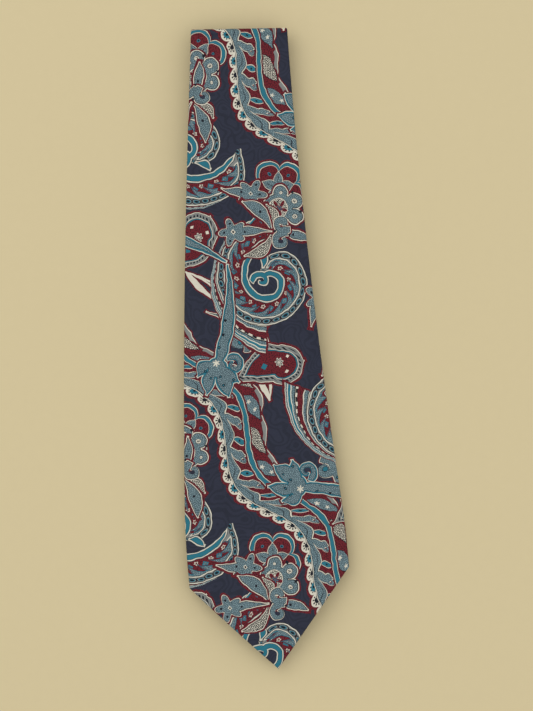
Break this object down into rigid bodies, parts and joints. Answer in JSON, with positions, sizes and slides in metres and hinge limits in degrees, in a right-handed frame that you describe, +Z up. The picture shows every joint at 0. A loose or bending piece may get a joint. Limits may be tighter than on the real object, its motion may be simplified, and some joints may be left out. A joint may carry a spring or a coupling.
{
  "type": "necktie",
  "caption": "Lined silk necktie with a paisley print, folded in four and lying face up, opening out flat at its three folds.",
  "frame": {"origin": "middle of the flat footprint, on the surface that the folded tie lies on", "axes": "+X to the right across the blade, +Y up the blade from its tip to the top fold, +Z up, out of the front of the wide blade"},
  "size_m": [0.0951, 0.3784, 0.013],
  "materials": {
    "printed_silk": "satin",
    "wool_interlining": "matte",
    "lining": "satin",
    "label_satin": "satin",
    "thread": "satin"
  },
  "bodies": {
    "wide_panel": {"wide_blade_silk": "printed_silk", "wide_blade_interlining": "wool_interlining", "wide_blade_tipping": "lining", "wide_blade_bar_tack": "thread", "wide_blade_slip_stitches": "thread", "keeper_loop": "printed_silk", "keeper_stitches": "thread", "maker_label": "label_satin", "maker_label_stitches": "thread", "care_label": "label_satin", "care_label_stitches": "thread", "top_fold_silk": "printed_silk", "top_fold_interlining": "wool_interlining"},
    "second_panel": {"second_panel_blade_silk": "printed_silk", "second_panel_neck_silk": "printed_silk", "second_panel_interlining": "wool_interlining", "second_panel_slip_stitches": "thread", "front_join_stitches": "thread", "bottom_fold_silk": "printed_silk", "bottom_fold_interlining": "wool_interlining"},
    "third_panel": {"third_panel_tail_silk": "printed_silk", "third_panel_neck_silk": "printed_silk", "third_panel_interlining": "wool_interlining", "third_panel_slip_stitches": "thread", "tail_join_stitches": "thread", "inner_fold_silk": "printed_silk", "inner_fold_interlining": "wool_interlining"},
    "tail_panel": {"tail_silk": "printed_silk", "tail_interlining": "wool_interlining", "tail_tipping": "lining", "tail_bar_tack": "thread", "tail_slip_stitches": "thread"}
  },
  "joints": [
    {"name": "top_fold", "type": "hinge", "parent": "wide_panel", "child": "second_panel", "pos_m": [0.00233, 0.1881, 0.00965], "axis": [0.9991, -0.0427, 0], "range_deg": [0, 180], "deforming": ["top_fold_silk", "top_fold_interlining"]},
    {"name": "bottom_fold", "type": "hinge", "parent": "second_panel", "child": "third_panel", "pos_m": [0.00126, -0.16268, 0.00617], "axis": [-0.9993, -0.0366, 0], "range_deg": [0, 180], "deforming": ["bottom_fold_silk", "bottom_fold_interlining"]},
    {"name": "inner_fold", "type": "hinge", "parent": "third_panel", "child": "tail_panel", "pos_m": [0.00228, 0.1869, 0.003], "axis": [0.9991, -0.0424, 0], "range_deg": [0, 180], "deforming": ["inner_fold_silk", "inner_fold_interlining"]}
  ]
}
